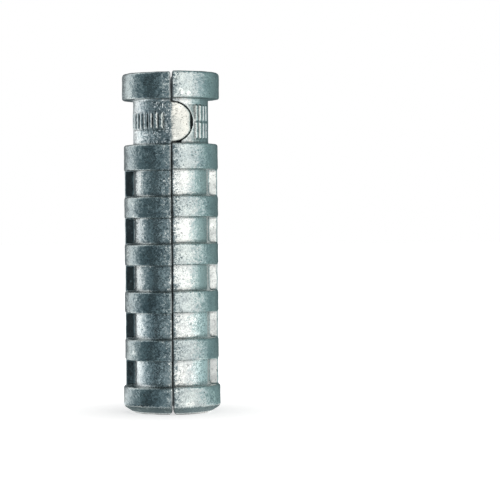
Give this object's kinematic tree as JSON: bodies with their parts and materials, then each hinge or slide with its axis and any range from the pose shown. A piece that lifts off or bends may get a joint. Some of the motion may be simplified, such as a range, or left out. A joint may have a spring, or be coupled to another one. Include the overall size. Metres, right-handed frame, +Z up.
{
  "type": "lag shield anchor",
  "caption": "Split, ribbed zinc sleeve that holds a lag screw in masonry: two half-shells pivot at the neck and spread as the screw is driven.",
  "frame": {"origin": "on the bore's axis, in the plane of the lower end face that it stands on", "axes": "+Z up the bore to the collar; the split is the plane X = 0, with the right half-shell at +X; -Y is the front, where the left half-shell's ear shows"},
  "size_m": [0.0126, 0.0126, 0.0444],
  "materials": {
    "zinc_casting": "as die-cast zinc alloy, matt and finely pitted"
  },
  "bodies": {
    "left_half": {"left_half_shell": "zinc_casting"},
    "right_half": {"right_half_shell": "zinc_casting"}
  },
  "joints": [
    {"name": "spread", "type": "hinge", "parent": "left_half", "child": "right_half", "pos_m": [0, 0, 0.03792], "axis": [0, -1, 0], "range_deg": [0, 1.5]}
  ]
}
